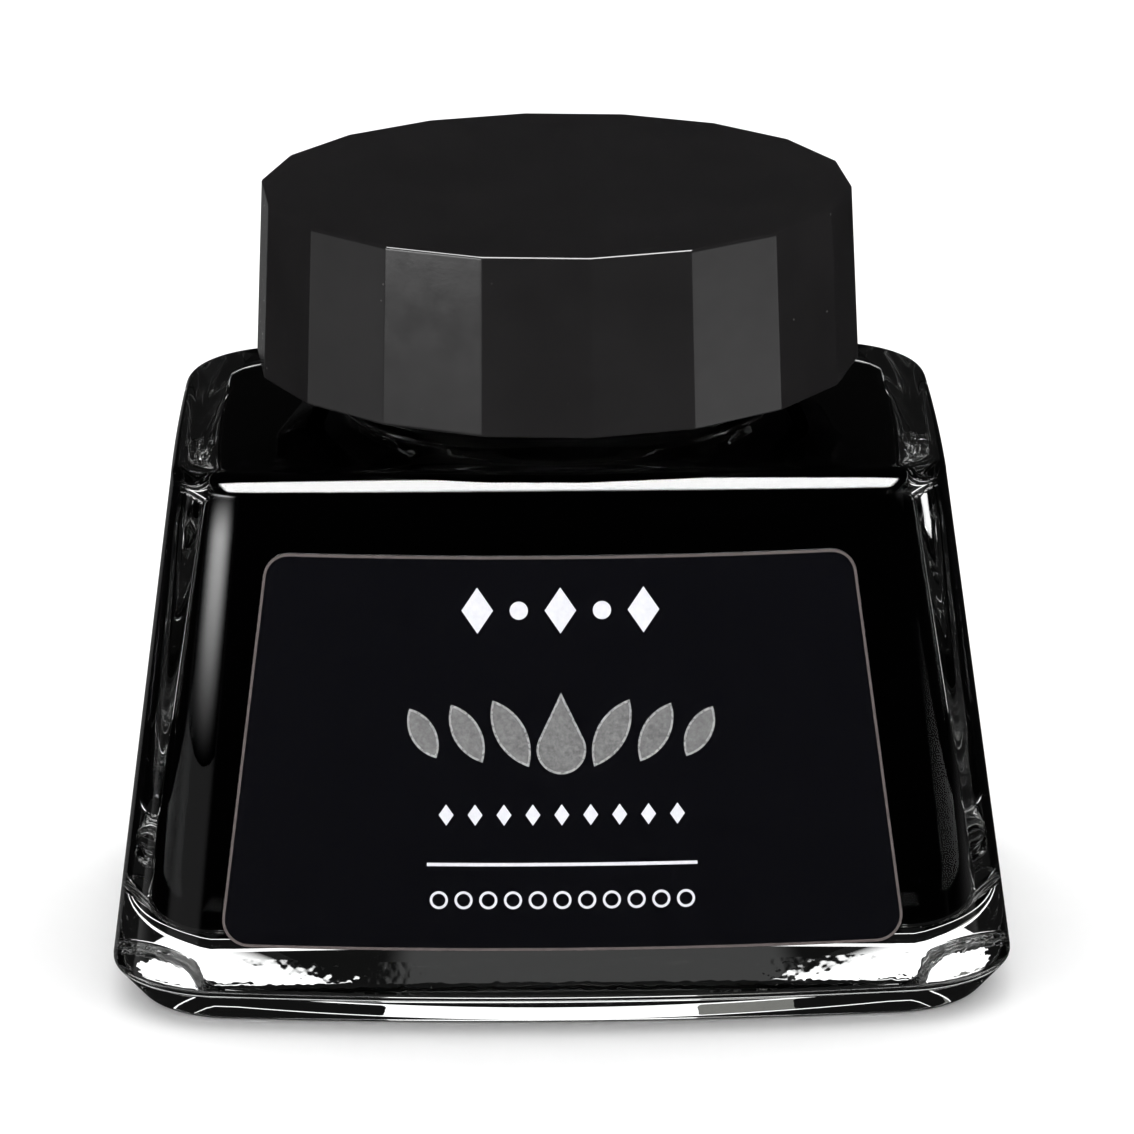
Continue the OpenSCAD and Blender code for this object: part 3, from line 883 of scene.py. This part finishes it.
def add_soft_box(name, turn, distance, half_wide, low, high, power):
    """Glowing panel that only gloss sees, turn degrees left of the front."""
    corners = [(-half_wide, 0, low), (half_wide, 0, low), (half_wide, 0, high), (-half_wide, 0, high)]
    box = add_stage_mesh(name, corners, glow_material(name, power))
    angle = math.radians(turn)
    box.location = (-distance * MM * math.sin(angle), -distance * MM * math.cos(angle), 0)
    box.rotation_euler = (0, 0, -angle)
    box.visible_camera = box.visible_diffuse = box.visible_transmission = False


class Sky(Nodes):
    """World shader made of soft boxes, placed by direction."""

    def __init__(self):
        world = bpy.data.worlds.new("studio")
        bpy.context.scene.world = world
        world.use_nodes = True
        world.cycles.sampling_method = "NONE"
        super().__init__(world.node_tree)
        self.background = self.nodes["Background"]
        self.direction = self.new("TexCoord").outputs["Generated"]
        self.rays = self.new("LightPath").outputs

    def along(self, axis):
        node = self.new("VectorMath", operation="DOT_PRODUCT")
        self.links.new(self.direction, node.inputs[0])
        node.inputs[1].default_value = axis
        return node.outputs["Value"]

    def fade(self, value, half, soft):
        """1 while |value| is under half, falling to 0 over soft."""
        return self.ramp(self.math("ABSOLUTE", value), half, half + soft, 1, 0, "SMOOTHSTEP")

    def panel(self, turn, lift, half_wide, half_high, soft, power):
        """Soft box seen turn degrees left of the front and lift degrees up, with half sizes in degrees."""
        t, e = math.radians(turn), math.radians(lift)
        facing = Vector((-math.sin(t) * math.cos(e), -math.cos(t) * math.cos(e), math.sin(e)))
        wide = Vector((-math.cos(t), math.sin(t), 0))
        high = facing.cross(wide)
        depth = self.along(facing)
        safe = self.math("MAXIMUM", depth, 0.001)
        across = self.math("DIVIDE", self.along(wide), safe)
        upward = self.math("DIVIDE", self.along(high), safe)
        lit = self.math("MULTIPLY", self.fade(across, math.tan(math.radians(half_wide)), soft),
                        self.fade(upward, math.tan(math.radians(half_high)), soft))
        lit = self.math("MULTIPLY", lit, self.math("GREATER_THAN", depth, 0.0))
        return self.math("MULTIPLY", lit, power)


def add_world():
    """White to the eye, even for matt surfaces, and a dark studio with soft boxes for gloss and glass."""
    sky = Sky()
    even, dark = 1.5, 0.006
    boxes = [                          # turn, lift, half wide, half high (degrees), softness, power
        (0, 52, 42, 20, 0.20, 22.0),       # high in front: the line along the shoulder's edge
        (50, -16, 14, 6, 0.05, 0.50),      # cap's facets on the left
        (88, -16, 16, 6, 0.05, 0.42),
        (50, -2, 14, 5, 0.15, 0.27),       # left wall
        (-72, -24, 18, 12, 0.12, 1.0),     # cap's facets on the right
        (0, -22, 60, 8, 0.1, 0.12),        # low in front
        (165, -17, 16, 7, 0.1, 0.10)]      # cap's facets on the far left
    studio = sky.panel(*boxes[0])
    for box in boxes[1:]:
        studio = sky.math("ADD", studio, sky.panel(*box))
    reflected = sky.math("SUBTRACT", sky.rays["Is Glossy Ray"], sky.rays["Is Transmission Ray"])
    seen = sky.math("MULTIPLY", studio, sky.math("MAXIMUM", reflected, 0.0))
    seen = sky.math("ADD", seen, sky.math("MULTIPLY", sky.rays["Is Diffuse Ray"], even))
    horizon = sky.panel(180, 0.5, 1.8, 0.8, 0.006, 0.05)    # straight behind, for refracted rays
    behind = sky.math("MULTIPLY", horizon, sky.rays["Is Transmission Ray"])
    seen = sky.math("ADD", seen, sky.math("ADD", behind, dark))
    seen = sky.math("MAXIMUM", seen, sky.rays["Is Camera Ray"])
    sky.links.new(seen, sky.background.inputs["Strength"])
    sky.background.inputs["Color"].default_value = (1, 1, 1, 1)


# ---------- the scene ----------

scene = bpy.context.scene
scene.view_settings.view_transform = "Standard"
scene.cycles.max_bounces = 24
scene.cycles.transmission_bounces = 20
scene.cycles.glossy_bounces = 12

add_camera()
add_floor()
add_soft_box("soft_box_left", turn=50, distance=240, half_wide=75, low=4, high=44, power=8.5)
add_world()

make_glass(glass_material("glass_clear", GLASS_IOR), glass_material("glass_against_ink", WET_GLASS_IOR),
           glass_material("glass_textured", GLASS_IOR, grain_mm=0.5, depth_mm=0.005))
make_ink(ink_material("ink_black", NO_IOR), ink_material("ink_black_surface", INK_IOR))
make_cap_shell(cap_plastic_material())
make_cap_insert(insert_plastic_material())
make_liner(foam_material())
film = film_material()
make_label("label_front", film, -1, "front_label")
make_label("label_back", film, 1, "back_label")
make_print([print_material(), border_material()])
# The second foil is a lighter copy of the first, a painted highlight for the raised rims.
make_foil(foil_material("foil_grey", (0.09, 0.09, 0.09), (0.19, 0.19, 0.19), 0.45),
          foil_material("foil_painted_highlight", (0.34, 0.34, 0.34), (0.56, 0.56, 0.56), 0.30))
